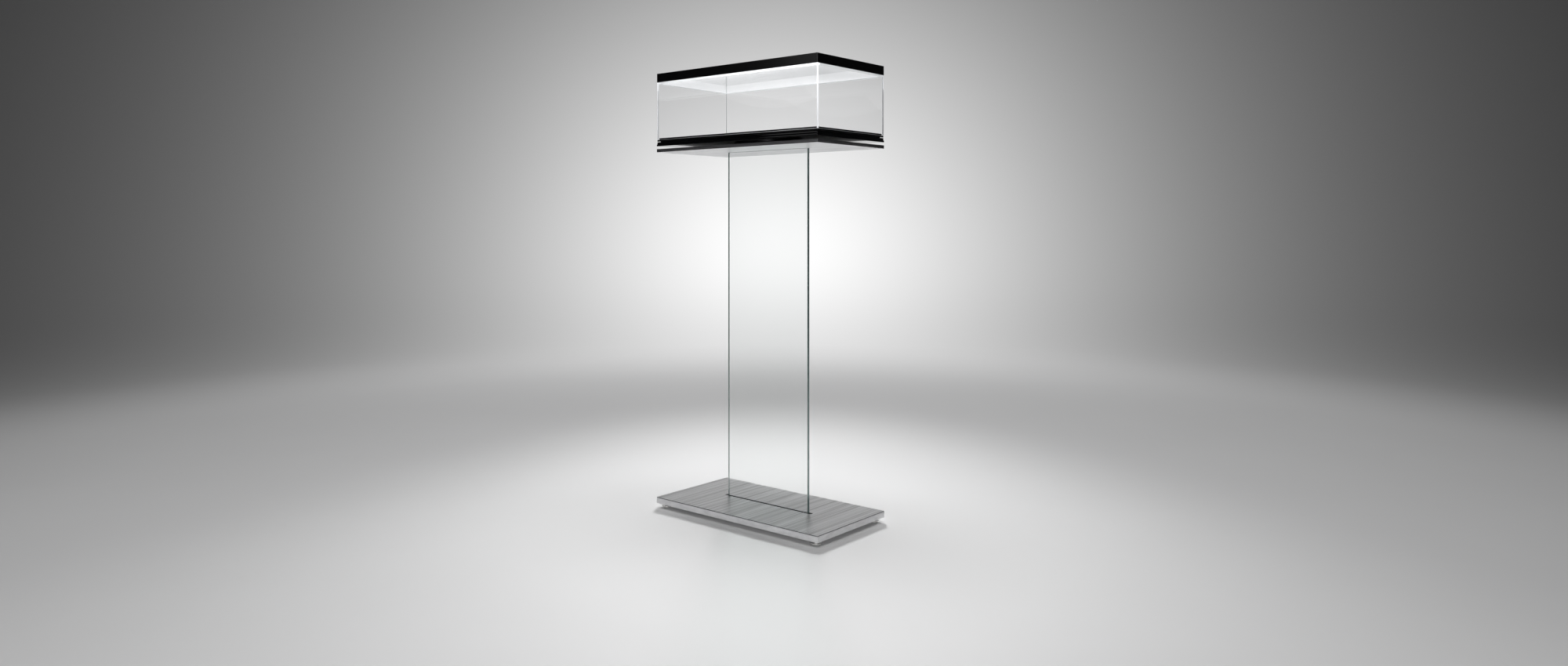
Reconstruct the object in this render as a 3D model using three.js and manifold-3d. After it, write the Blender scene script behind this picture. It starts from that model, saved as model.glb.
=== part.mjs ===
// Floor-standing display stand: a weighted steel foot plate, one upright glass panel, a slim
// double top plate, a ball turntable, and a stepped black plinth that carries a lift-off
// acrylic case with a lighted lid. Millimetres, +Z up, origin on the floor at the centre.
import * as THREE from "three";
import { mergeVertices } from "three/addons/utils/BufferGeometryUtils.js";
import Module from "manifold-3d";

const wasm = await Module();
wasm.setup();

// ---- Driving dimensions -------------------------------------------------------------------

const GAP = 0.3; // clearance between pieces that are glued, screwed or pressed together
const EDGE = 0.5; // broken edge on plates and panes
const OVERLAP = 0.5; // how far two shapes run into each other where they are one piece
const THROUGH = 40; // a drill or a slot cutter this long passes right through any plate
const MERGE_DISTANCE = 1e-4;
const SEGMENTS = { ring: 72, turned: 24, bar: 16, small: 12, ballRings: 8 }; // sides of round pieces

const PLATE_LENGTH = 700;
const PLATE_DEPTH = 356;

const FOOT_HEIGHT = 13; // floor to the underside of the base slab
const FOOT_INSET = 25; // foot centre to the slab's sides
const FOOT_RADIUS = 17;
const FOOT_DISC = 4.2;
const FOOT_CROWN = 1.6; // rounding of the disc's upper rim
const FOOT_HEX_RADIUS = 7.5;
const STUD_RADIUS = 4;
const STUD_LENGTH = 14;
const TAP_SPARE = 1.5; // depth of a threaded hole past the end of its screw or stud
const PAD_RADIUS = 15;
const PAD_THICKNESS = 1.2;

const SLAB_THICKNESS = 19;
const BOND_THICKNESS = 1;
const BOND_INSET = 1;
const SHEET_THICKNESS = 1.5;

const SLOT_LENGTH = 380;
const SLOT_WIDTH = 14;
const SLOT_FLOOR = 3; // steel left under the groove that holds the glass
const SETTING_BLOCK = { length: 60, depth: 9.4, height: 3, offset: 120 };

const GLASS_WIDTH = 350;
const GLASS_THICKNESS = 10;
const GLASS_SHOWING = 1187; // base sheet to the underside of the top plate
const GLASS_ARRIS = 1;

const TOP_LOWER = 4.5;
const TOP_UPPER = 6.5;
const TOP_SLOT_LENGTH = 354;
const TOP_POCKET_DEPTH = 4.3;
const GLASS_IN_POCKET = 4;

const TURNTABLE_HEIGHT = 9.5;
const BALL_COUNT = 8;
const BALL_RADIUS = 3;
const BALL_PITCH = 95.8; // radius of the circle that the balls run on
const RACE_CLEARANCE = 0.15;
const RING_GAP = 1.2; // each ring's face to the pitch circle
const OUTER_RING_RADIUS = 112;
const INNER_RING_RADIUS = 74.3;
const RING_LIFT = 1.2; // clearance over and under the ring that passes by
const CAGE_HALF = 0.6;
const CAGE_HEIGHT = 7;
const CAGE_HOLE = 3.2;
const RING_SCREWS = 3;
const OUTER_SCREW_CIRCLE = 105; // radius of the circle that the outer ring's screws stand on
const INNER_SCREW_CIRCLE = 83;

const SCREW_RADIUS = 2;
const SCREW_HEAD_RADIUS = 4;
const SCREW_HEAD = 2.2;
const SCREW_GRIP = 4; // length of thread in the piece that it holds
const SOCKET_RADIUS = 1.4;
const SOCKET_FLOOR = 1.3; // steel left under the hexagon socket

const FLANGE = { length: 701, depth: 357, height: 6.5 };
const CORE_HEIGHT = 7.5;
const GROOVE_HEIGHT = 2;
const GROOVE_DEPTH = 8;
const LEDGE_HEIGHT = 6;
const DECK_HEIGHT = 6;
const DECK_CLEARANCE = 0.5; // deck to the inside of the case's walls

const CASE_LENGTH = 698;
const CASE_DEPTH = 354;
const WALL = 5;
const WALL_HEIGHT = 191.2;
const TOP_PANE = 6;

const LID_LENGTH = 699;
const LID_DEPTH = 355;
const LID_HEIGHT = 30;
const RAIL = 6;
const LID_SKIN = 3;
const DIFFUSER = 3;
const STRIP = { width: 8, thickness: 1, chip: 1, chipWidth: 5, pitch: 66, cornerGap: 2 };
const REFLECTOR = 1;
const BATTERY = { length: 110, depth: 62, height: 9, edge: 1.5, y: 60 };
const BOARD = { length: 60, depth: 26, thickness: 1.6, lift: 1, fromRail: 3 };
const DRIVER_CHIP = { length: 14, depth: 12, height: 5, x: -14 };
const TACT_SWITCH = { length: 8, depth: 6, height: 8, y: 9 };
const BAY_X = 250; // where the switch and the inlet sit along the back rail

const BUTTON_RADIUS = 4;
const BUTTON_FLANGE = { radius: 5.4, thickness: 1.2 }; // keeps the button behind the rail
const BUTTON_PROUD = 0.5;
const BUTTON_ROUND = 0.4;
const INLET_RADIUS = 4;
const INLET_DEPTH = 9;
const INLET_SHOULDER = 1.2;
const INLET_BORE = 2.8;
const INLET_BACK = 2; // plastic left behind the bore

// ---- Heights that follow from them --------------------------------------------------------

const slabBottom = FOOT_HEIGHT;
const slabTop = slabBottom + SLAB_THICKNESS;
const bondTop = slabTop + BOND_THICKNESS;
const baseTop = bondTop + SHEET_THICKNESS;
const grooveFloor = slabBottom + SLOT_FLOOR;
const glassBottom = grooveFloor + SETTING_BLOCK.height;
const plateBottom = baseTop + GLASS_SHOWING;
const plateMiddle = plateBottom + TOP_LOWER;
const plateTop = plateMiddle + TOP_UPPER;
const glassTop = plateMiddle + GLASS_IN_POCKET;
const flangeBottom = plateTop + TURNTABLE_HEIGHT;
const flangeTop = flangeBottom + FLANGE.height;
const coreTop = flangeTop + CORE_HEIGHT;
const ledgeBottom = coreTop + GROOVE_HEIGHT;
const ledgeTop = ledgeBottom + LEDGE_HEIGHT;
const wallBottom = ledgeTop + GAP;
const wallTop = wallBottom + WALL_HEIGHT;
const paneBottom = wallTop + GAP;
const paneTop = paneBottom + TOP_PANE;
const lidBottom = paneTop + GAP;
const lidTop = lidBottom + LID_HEIGHT;
const skinBottom = lidTop - LID_SKIN;
const diffuserBottom = lidBottom + GAP;
const stripBottom = diffuserBottom + DIFFUSER + GAP;
const reflectorBottom = stripBottom + STRIP.width + GAP;
const bayBottom = reflectorBottom + REFLECTOR + GAP;
const bayMiddle = (bayBottom + skinBottom) / 2;

// ---- Finishes -----------------------------------------------------------------------------

const finish = (color, roughness, metalness, extra = {}) =>
  new THREE.MeshStandardMaterial({ color, roughness, metalness, ...extra });

const brushedSteel = finish(0xa9abad, 0.38, 1);
const slabSteel = finish(0xb4b5b6, 0.55, 0.9);
const polishedSteel = finish(0xd6d7d4, 0.15, 1);
const zincSteel = finish(0x8f9498, 0.35, 1);
const anodised = finish(0x9b9da0, 0.45, 1);
const blackRubber = finish(0x161616, 0.8, 0);
const clearGlass = finish(0xe3efec, 0.02, 0, { transparent: true, opacity: 0.2 });
const clearAcrylic = finish(0xf6f9fa, 0.03, 0, { transparent: true, opacity: 0.15 });
const blackAcrylic = finish(0x060607, 0.08, 0);
const blackPaint = finish(0x0d0d0e, 0.3, 0.2);
const whitePlastic = finish(0xf4f5f6, 0.6, 0);
const lightPanel = finish(0xffffff, 0.5, 0, { emissive: 0xf2f5ff });
const circuitBoard = finish(0x1c4a2c, 0.6, 0);
const batteryWrap = finish(0x3f4247, 0.5, 0);

// ---- Shape helpers ------------------------------------------------------------------------

const part = new THREE.Group();

// Adds a named mesh to the model, or to the group given.
function add(name, geometry, material, place = [0, 0, 0], parent = part) {
  const mesh = new THREE.Mesh(geometry, material);
  mesh.name = name;
  mesh.position.set(...place);
  parent.add(mesh);
  return mesh;
}

// Three.js geometry to a solid, for joining and cutting.
function solid(geometry) {
  const bare = geometry.clone();
  bare.deleteAttribute("normal");
  bare.deleteAttribute("uv");
  const merged = mergeVertices(bare, MERGE_DISTANCE);
  return new wasm.Manifold(
    new wasm.Mesh({
      numProp: 3,
      vertProperties: new Float32Array(merged.attributes.position.array),
      triVerts: new Uint32Array(merged.index.array),
    }),
  );
}

// A solid back to geometry.
function geometryOf(body) {
  const mesh = body.getMesh();
  const geometry = new THREE.BufferGeometry();
  geometry.setAttribute("position", new THREE.BufferAttribute(mesh.vertProperties, 3));
  geometry.setIndex(new THREE.BufferAttribute(mesh.triVerts, 1));
  geometry.computeVertexNormals();
  return geometry;
}

// A rectangle with its corners cut back, drawn about its centre.
function rectangle(length, depth, corner, Kind = THREE.Shape) {
  const x = length / 2;
  const y = depth / 2;
  const outline = new Kind();
  outline.moveTo(-x + corner, -y);
  outline.lineTo(x - corner, -y);
  outline.lineTo(x, -y + corner);
  outline.lineTo(x, y - corner);
  outline.lineTo(x - corner, y);
  outline.lineTo(-x + corner, y);
  outline.lineTo(-x, y - corner);
  outline.lineTo(-x, -y + corner);
  outline.closePath();
  return outline;
}

// A plate lying flat with every edge broken, its underside at z = 0.
function plate(length, depth, height, edge = EDGE) {
  const inner = rectangle(length - 2 * edge, depth - 2 * edge, edge / 2);
  const options = {
    depth: height - 2 * edge,
    bevelEnabled: true,
    bevelThickness: edge,
    bevelSize: edge,
    bevelSegments: 1,
  };
  return new THREE.ExtrudeGeometry(inner, options).translate(0, 0, edge);
}

function block(length, depth, height, x = 0, y = 0, z = 0) {
  return new THREE.BoxGeometry(length, depth, height).translate(x, y, z + height / 2);
}

// An upright round bar, its lower end at z.
function bar(radius, height, z = 0, segments = SEGMENTS.bar) {
  const cylinder = new THREE.CylinderGeometry(radius, radius, height, segments);
  return cylinder.rotateX(Math.PI / 2).translate(0, 0, z + height / 2);
}

// A turned piece about the Z axis from [radius, z] points.
function turned(points, segments = SEGMENTS.turned) {
  const profile = points.map(([radius, z]) => new THREE.Vector2(radius, z));
  return new THREE.LatheGeometry(profile, segments).rotateX(Math.PI / 2);
}

// Points spaced evenly on a circle about the Z axis.
function ringOfPoints(count, radius, firstAngle = 0) {
  return Array.from({ length: count }, (_, index) => {
    const angle = firstAngle + (index * 2 * Math.PI) / count;
    return { angle, x: radius * Math.cos(angle), y: radius * Math.sin(angle) };
  });
}

// Cuts every tool out of a body.
function cut(geometry, tools) {
  return geometryOf(tools.reduce((body, tool) => body.subtract(solid(tool)), solid(geometry)));
}

// Joins geometries that overlap into one body.
function join(geometries) {
  const [first, ...rest] = geometries.map(solid);
  return geometryOf(rest.reduce((body, other) => body.add(other), first));
}

// A rubber or silicone frame that fills the slot round the glass.
function slotFrame(length, height) {
  const outline = rectangle(length - 2 * GAP, SLOT_WIDTH - 2 * GAP, EDGE);
  const hole = rectangle(GLASS_WIDTH + 2 * GAP, GLASS_THICKNESS + 2 * GAP, EDGE, THREE.Path);
  outline.holes.push(hole);
  return new THREE.ExtrudeGeometry(outline, { depth: height, bevelEnabled: false });
}

// A cheese-head screw with a hexagon socket, its head's underside at z = 0.
function screw(shank) {
  const crown = SCREW_HEAD_RADIUS - EDGE;
  const outline = [
    [0, -shank],
    [SCREW_RADIUS - EDGE, -shank],
    [SCREW_RADIUS, EDGE - shank],
    [SCREW_RADIUS, 0],
    [SCREW_HEAD_RADIUS, 0],
    [SCREW_HEAD_RADIUS, SCREW_HEAD - EDGE],
    [crown, SCREW_HEAD],
    [0, SCREW_HEAD],
  ];
  const socket = bar(SOCKET_RADIUS, SCREW_HEAD, SOCKET_FLOOR, 6);
  return cut(turned(outline, SEGMENTS.small), [socket]);
}

// ---- Base: slab, bond, brushed sheet ------------------------------------------------------

const footPlaces = [-1, 1].flatMap((sideY) =>
  [-1, 1].map((sideX) => [
    sideX * (PLATE_LENGTH / 2 - FOOT_INSET),
    sideY * (PLATE_DEPTH / 2 - FOOT_INSET),
  ]),
);

function addBase() {
  const groove = block(SLOT_LENGTH, SLOT_WIDTH, SLAB_THICKNESS, 0, 0, SLOT_FLOOR);
  const tapped = footPlaces.map(([x, y]) =>
    bar(STUD_RADIUS + GAP, STUD_LENGTH + 2 * TAP_SPARE, -TAP_SPARE).translate(x, y, 0),
  );
  const slab = cut(plate(PLATE_LENGTH, PLATE_DEPTH, SLAB_THICKNESS), [groove, ...tapped]);
  add("base_slab", slab, slabSteel, [0, 0, slabBottom]);

  const throughSlot = block(SLOT_LENGTH, SLOT_WIDTH, THROUGH, 0, 0, -THROUGH / 2);
  const bondLength = PLATE_LENGTH - 2 * BOND_INSET;
  const bondDepth = PLATE_DEPTH - 2 * BOND_INSET;
  const bond = cut(block(bondLength, bondDepth, BOND_THICKNESS), [throughSlot]);
  add("base_sheet_bond", bond, blackRubber, [0, 0, slabTop]);

  const sheet = cut(plate(PLATE_LENGTH, PLATE_DEPTH, SHEET_THICKNESS, GAP), [throughSlot]);
  add("base_top_sheet", sheet, brushedSteel, [0, 0, bondTop]);
}

// ---- Levelling feet -----------------------------------------------------------------------

// One steel foot: disc, hexagon for the spanner and threaded stud, in a single piece.
function footBody() {
  const discTop = PAD_THICKNESS + FOOT_DISC;
  const crown = [0, 45, 90].map((degrees) => {
    const angle = THREE.MathUtils.degToRad(degrees);
    const radius = FOOT_RADIUS - FOOT_CROWN * (1 - Math.cos(angle));
    return [radius, discTop - FOOT_CROWN * (1 - Math.sin(angle))];
  });
  const disc = turned([
    [0, PAD_THICKNESS],
    [FOOT_RADIUS - EDGE, PAD_THICKNESS],
    [FOOT_RADIUS, PAD_THICKNESS + EDGE],
    ...crown,
    [0, discTop],
  ]);
  const hexTop = slabBottom - GAP;
  const hexHeight = hexTop - discTop;
  const hexagon = bar(FOOT_HEX_RADIUS, hexHeight + OVERLAP, discTop - OVERLAP, 6);
  const stud = bar(STUD_RADIUS, STUD_LENGTH + OVERLAP, hexTop - OVERLAP, SEGMENTS.small);
  return join([disc, hexagon, stud]);
}

function addFeet() {
  const body = footBody();
  const pad = bar(PAD_RADIUS, PAD_THICKNESS, 0, SEGMENTS.turned);
  footPlaces.forEach(([x, y], index) => {
    add(`levelling_foot_${index + 1}`, body, polishedSteel, [x, y, 0]);
    add(`foot_pad_${index + 1}`, pad, blackRubber, [x, y, 0]);
  });
}

// ---- Upright glass ------------------------------------------------------------------------

function addGlass() {
  const height = glassTop - glassBottom;
  const outline = rectangle(GLASS_WIDTH, GLASS_THICKNESS, GLASS_ARRIS);
  const panel = new THREE.ExtrudeGeometry(outline, { depth: height, bevelEnabled: false });
  add("glass_panel", panel, clearGlass, [0, 0, glassBottom]);

  const { length, depth, offset } = SETTING_BLOCK;
  const cushion = block(length, depth, SETTING_BLOCK.height);
  add("setting_block_left", cushion, blackRubber, [-offset, 0, grooveFloor]);
  add("setting_block_right", cushion, blackRubber, [offset, 0, grooveFloor]);

  const gasket = slotFrame(SLOT_LENGTH, baseTop - GAP - glassBottom);
  add("base_slot_gasket", gasket, blackRubber, [0, 0, glassBottom]);

  const seal = slotFrame(TOP_SLOT_LENGTH, TOP_LOWER - GAP);
  add("top_slot_seal", seal, anodised, [0, 0, plateBottom + GAP / 2]);
}

// ---- Double top plate ---------------------------------------------------------------------

const lowerScrewPlaces = ringOfPoints(RING_SCREWS, OUTER_SCREW_CIRCLE, Math.PI / 2);
const upperScrewPlaces = ringOfPoints(RING_SCREWS, INNER_SCREW_CIRCLE, Math.PI / 6);

function addTopPlate() {
  const slot = block(TOP_SLOT_LENGTH, SLOT_WIDTH, THROUGH, 0, 0, -THROUGH / 2);
  const lower = cut(plate(PLATE_LENGTH, PLATE_DEPTH, TOP_LOWER), [slot]);
  add("top_lower_plate", lower, brushedSteel, [0, 0, plateBottom]);

  const pocket = block(TOP_SLOT_LENGTH, SLOT_WIDTH, 2 * TOP_POCKET_DEPTH, 0, 0, -TOP_POCKET_DEPTH);
  const tapped = lowerScrewPlaces.map(({ x, y }) =>
    bar(SCREW_RADIUS + GAP, THROUGH, TOP_UPPER - SCREW_GRIP - TAP_SPARE).translate(x, y, 0),
  );
  const upper = cut(plate(PLATE_LENGTH, PLATE_DEPTH, TOP_UPPER), [pocket, ...tapped]);
  add("top_upper_plate", upper, anodised, [0, 0, plateMiddle]);
}

// ---- Ball turntable -----------------------------------------------------------------------

// Points of the ball race: an arc of the groove's circle between the ring's two lips.
function raceArc(side) {
  const radius = BALL_RADIUS + RACE_CLEARANCE;
  const lip = Math.acos(RING_GAP / radius);
  const steps = 5;
  return Array.from({ length: steps + 1 }, (_, index) => {
    const angle = lip - (2 * lip * index) / steps;
    return [BALL_PITCH + side * radius * Math.cos(angle), radius * Math.sin(angle)];
  });
}

const ballHeight = plateTop + TURNTABLE_HEIGHT / 2;

// A turntable ring from its bottom to its top, with the race in the face at the pitch circle.
function raceRing(side, farRadius, bottom, top) {
  const face = BALL_PITCH + side * RING_GAP;
  const race = raceArc(side);
  const walk = [[farRadius, top], [face, top], ...race, [face, bottom], [farRadius, bottom]];
  const outline = side < 0 ? [...walk].reverse() : walk;
  outline.push(outline[0]);
  return turned(outline, SEGMENTS.ring);
}

function addTurntable() {
  const half = TURNTABLE_HEIGHT / 2;
  const seat = half - RING_LIFT - SCREW_HEAD - GAP;
  const counterbores = lowerScrewPlaces.flatMap(({ x, y }) => [
    bar(SCREW_RADIUS + GAP, THROUGH, -THROUGH / 2).translate(x, y, 0),
    bar(SCREW_HEAD_RADIUS + GAP, THROUGH, seat).translate(x, y, 0),
  ]);
  const lowerRing = cut(raceRing(1, OUTER_RING_RADIUS, -half, half - RING_LIFT), counterbores);
  add("turntable_lower_ring", lowerRing, anodised, [0, 0, ballHeight]);

  const screwEnd = half + GAP - SCREW_GRIP;
  const threads = upperScrewPlaces.map(({ x, y }) =>
    bar(SCREW_RADIUS + GAP, THROUGH, screwEnd - TAP_SPARE).translate(x, y, 0),
  );
  const upperRing = cut(raceRing(-1, INNER_RING_RADIUS, RING_LIFT - half, half), threads);
  add("turntable_upper_ring", upperRing, anodised, [0, 0, ballHeight]);

  const cageOutline = [
    [BALL_PITCH - CAGE_HALF, -CAGE_HEIGHT / 2],
    [BALL_PITCH + CAGE_HALF, -CAGE_HEIGHT / 2],
    [BALL_PITCH + CAGE_HALF, CAGE_HEIGHT / 2],
    [BALL_PITCH - CAGE_HALF, CAGE_HEIGHT / 2],
    [BALL_PITCH - CAGE_HALF, -CAGE_HEIGHT / 2],
  ];
  const ballPlaces = ringOfPoints(BALL_COUNT, BALL_PITCH, Math.PI / BALL_COUNT);
  const windows = ballPlaces.map(({ angle, x, y }) => {
    const drill = new THREE.CylinderGeometry(CAGE_HOLE, CAGE_HOLE, THROUGH, SEGMENTS.bar);
    return drill.rotateZ(angle + Math.PI / 2).translate(x, y, 0);
  });
  const cage = cut(turned(cageOutline, SEGMENTS.ring), windows);
  add("ball_cage", cage, whitePlastic, [0, 0, ballHeight]);

  const ball = new THREE.SphereGeometry(BALL_RADIUS, SEGMENTS.small, SEGMENTS.ballRings);
  ballPlaces.forEach(({ x, y }, index) => {
    add(`bearing_ball_${index + 1}`, ball, polishedSteel, [x, y, ballHeight]);
  });
}

function addTurntableScrews() {
  const lowerHead = ballHeight + TURNTABLE_HEIGHT / 2 - RING_LIFT - SCREW_HEAD;
  const lowerScrew = screw(lowerHead - plateTop + SCREW_GRIP);
  lowerScrewPlaces.forEach(({ x, y }, index) => {
    add(`lower_ring_screw_${index + 1}`, lowerScrew, zincSteel, [x, y, lowerHead]);
  });
  const upperScrew = screw(FLANGE.height + SCREW_GRIP);
  upperScrewPlaces.forEach(({ x, y }, index) => {
    add(`upper_ring_screw_${index + 1}`, upperScrew, zincSteel, [x, y, flangeTop + GAP]);
  });
}

// ---- Stepped plinth -----------------------------------------------------------------------

function addPlinth() {
  const drills = (radius) =>
    upperScrewPlaces.map(({ x, y }) => bar(radius, THROUGH, -THROUGH / 2).translate(x, y, 0));
  const flange = cut(plate(FLANGE.length, FLANGE.depth, FLANGE.height), drills(SCREW_RADIUS + GAP));
  add("plinth_flange", flange, blackAcrylic, [0, 0, flangeBottom]);

  const headDrills = drills(SCREW_HEAD_RADIUS + GAP);
  const core = cut(plate(CASE_LENGTH, CASE_DEPTH, CORE_HEIGHT), headDrills);
  add("plinth_core", core, blackAcrylic, [0, 0, flangeTop]);

  const neckLength = CASE_LENGTH - 2 * GROOVE_DEPTH;
  const neckDepth = CASE_DEPTH - 2 * GROOVE_DEPTH;
  const neck = block(neckLength, neckDepth, GROOVE_HEIGHT + EDGE, 0, 0, -GROOVE_HEIGHT);
  const ledge = join([plate(CASE_LENGTH, CASE_DEPTH, LEDGE_HEIGHT), neck]);
  add("plinth_ledge", ledge, blackAcrylic, [0, 0, ledgeBottom]);

  const deckLength = CASE_LENGTH - 2 * (WALL + DECK_CLEARANCE);
  const deckDepth = CASE_DEPTH - 2 * (WALL + DECK_CLEARANCE);
  add("plinth_deck", plate(deckLength, deckDepth, DECK_HEIGHT), blackAcrylic, [0, 0, ledgeTop]);
}

// ---- Lift-off acrylic case ----------------------------------------------------------------

// A pane standing on its edge: a flat plate turned upright, its lower edge at z = 0.
function uprightPane(length) {
  return plate(length, WALL_HEIGHT, WALL)
    .rotateX(Math.PI / 2)
    .translate(0, WALL / 2, WALL_HEIGHT / 2);
}

function addCase() {
  const faceY = (CASE_DEPTH - WALL) / 2;
  const faceX = (CASE_LENGTH - WALL) / 2;
  const long = uprightPane(CASE_LENGTH);
  add("front_pane", long, clearAcrylic, [0, -faceY, wallBottom]);
  add("back_pane", long, clearAcrylic, [0, faceY, wallBottom]);

  const short = uprightPane(CASE_DEPTH - 2 * WALL - 2 * GAP).rotateZ(Math.PI / 2);
  add("left_pane", short, clearAcrylic, [-faceX, 0, wallBottom]);
  add("right_pane", short, clearAcrylic, [faceX, 0, wallBottom]);

  add("top_pane", plate(CASE_LENGTH, CASE_DEPTH, TOP_PANE), clearAcrylic, [0, 0, paneBottom]);
}

// ---- Lighted lid --------------------------------------------------------------------------

// A mitred rail, its outer face at y = 0 and its length running along X.
function rail(length) {
  const half = length / 2 - GAP / 2;
  const outline = new THREE.Shape();
  outline.moveTo(-half, 0);
  outline.lineTo(half, 0);
  outline.lineTo(half - RAIL, RAIL);
  outline.lineTo(-half + RAIL, RAIL);
  outline.closePath();
  return new THREE.ExtrudeGeometry(outline, { depth: LID_HEIGHT, bevelEnabled: false });
}

// A hole bored through the back rail, seen in the rail's own frame.
function railHole(radius, x) {
  const drill = new THREE.CylinderGeometry(radius, radius, THROUGH, SEGMENTS.bar);
  return drill.translate(x, 0, bayMiddle - lidBottom);
}

function addLidRails() {
  const halfX = LID_LENGTH / 2;
  const halfY = LID_DEPTH / 2;
  add("lid_rail_front", rail(LID_LENGTH), blackPaint, [0, -halfY, lidBottom]);

  // The back rail is turned half round, so its own +X points along the stand's -X.
  const holes = [railHole(BUTTON_RADIUS + GAP, -BAY_X), railHole(INLET_RADIUS + GAP, BAY_X)];
  const back = cut(rail(LID_LENGTH), holes).rotateZ(Math.PI);
  add("lid_rail_back", back, blackPaint, [0, halfY, lidBottom]);

  const side = rail(LID_DEPTH);
  const right = side.clone().rotateZ(Math.PI / 2);
  const left = side.clone().rotateZ(-Math.PI / 2);
  add("lid_rail_right", right, blackPaint, [halfX, 0, lidBottom]);
  add("lid_rail_left", left, blackPaint, [-halfX, 0, lidBottom]);
}

// An LED strip along X: the flexible board with its chips on the face towards +Y.
function ledStrip(length) {
  const board = block(length, STRIP.thickness, STRIP.width);
  const count = Math.floor(length / STRIP.pitch);
  const chipBottom = (STRIP.width - STRIP.chipWidth) / 2;
  const chips = Array.from({ length: count }, (_, index) => {
    const x = (index - (count - 1) / 2) * STRIP.pitch;
    const y = (STRIP.thickness + STRIP.chip) / 2 - GAP / 2;
    return block(STRIP.chipWidth, STRIP.chip + GAP, STRIP.chipWidth, x, y, chipBottom);
  });
  return join([board, ...chips]);
}

function addLights() {
  const insideLength = LID_LENGTH - 2 * RAIL;
  const insideDepth = LID_DEPTH - 2 * RAIL;
  const skin = plate(insideLength - 2 * GAP, insideDepth - 2 * GAP, LID_SKIN);
  add("lid_top_skin", skin, blackPaint, [0, 0, skinBottom]);

  const diffuser = plate(insideLength - 2 * GAP, insideDepth - 2 * GAP, DIFFUSER);
  add("light_diffuser", diffuser, lightPanel, [0, 0, diffuserBottom]);

  const reflector = block(insideLength - 2 * GAP, insideDepth - 2 * GAP, REFLECTOR);
  add("light_reflector", reflector, whitePlastic, [0, 0, reflectorBottom]);

  const faceY = insideDepth / 2 - STRIP.thickness / 2 - GAP;
  const faceX = insideLength / 2 - STRIP.thickness / 2 - GAP;
  const cornerRoom = 2 * (STRIP.thickness + STRIP.chip + STRIP.cornerGap);
  const long = ledStrip(insideLength - cornerRoom);
  const short = ledStrip(insideDepth - cornerRoom);
  add("led_strip_front", long, circuitBoard, [0, -faceY, stripBottom]);
  add("led_strip_back", long.clone().rotateZ(Math.PI), circuitBoard, [0, faceY, stripBottom]);
  add("led_strip_right", short.clone().rotateZ(Math.PI / 2), circuitBoard, [faceX, 0, stripBottom]);
  add("led_strip_left", short.clone().rotateZ(-Math.PI / 2), circuitBoard, [-faceX, 0, stripBottom]);
}

function addElectronics() {
  const battery = plate(BATTERY.length, BATTERY.depth, BATTERY.height, BATTERY.edge);
  add("battery_pack", battery, batteryWrap, [0, BATTERY.y, bayBottom + GAP]);

  const onBoard = BOARD.thickness - OVERLAP;
  const chip = DRIVER_CHIP;
  const tact = TACT_SWITCH;
  const pieces = [
    block(BOARD.length, BOARD.depth, BOARD.thickness),
    block(chip.length, chip.depth, chip.height, chip.x, 0, onBoard),
    block(tact.length, tact.depth, tact.height, 0, tact.y, onBoard),
  ];
  const boardY = LID_DEPTH / 2 - RAIL - BOARD.fromRail - BOARD.depth / 2;
  add("driver_board", join(pieces), circuitBoard, [BAY_X, boardY, bayBottom + BOARD.lift]);
}

// The push button and the charging inlet, both turned pieces lying along Y in the back rail.
function addControls() {
  const outerFace = LID_DEPTH / 2;
  const capLength = RAIL + BUTTON_PROUD + GAP;
  const button = turned([
    [0, -BUTTON_FLANGE.thickness],
    [BUTTON_FLANGE.radius, -BUTTON_FLANGE.thickness],
    [BUTTON_FLANGE.radius, 0],
    [BUTTON_RADIUS, 0],
    [BUTTON_RADIUS, capLength - BUTTON_ROUND],
    [BUTTON_RADIUS - BUTTON_ROUND, capLength],
    [0, capLength],
  ]).rotateX(-Math.PI / 2);
  const buttonBase = outerFace - RAIL - GAP;
  add("power_button", button, whitePlastic, [BAY_X, buttonBase, bayMiddle]);

  const boreEnd = INLET_BACK - INLET_DEPTH;
  const inlet = turned([
    [0, -INLET_DEPTH],
    [INLET_RADIUS + INLET_SHOULDER, -INLET_DEPTH],
    [INLET_RADIUS + INLET_SHOULDER, -RAIL - GAP],
    [INLET_RADIUS, -RAIL - GAP],
    [INLET_RADIUS, 0],
    [INLET_BORE, 0],
    [INLET_BORE, boreEnd],
    [0, boreEnd],
  ]).rotateX(-Math.PI / 2);
  add("charging_inlet", inlet, blackPaint, [-BAY_X, outerFace - GAP, bayMiddle]);
}

addBase();
addFeet();
addGlass();
addTopPlate();
addTurntable();
addTurntableScrews();
addPlinth();
addCase();
addLidRails();
addLights();
addElectronics();
addControls();

export default part;
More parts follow.
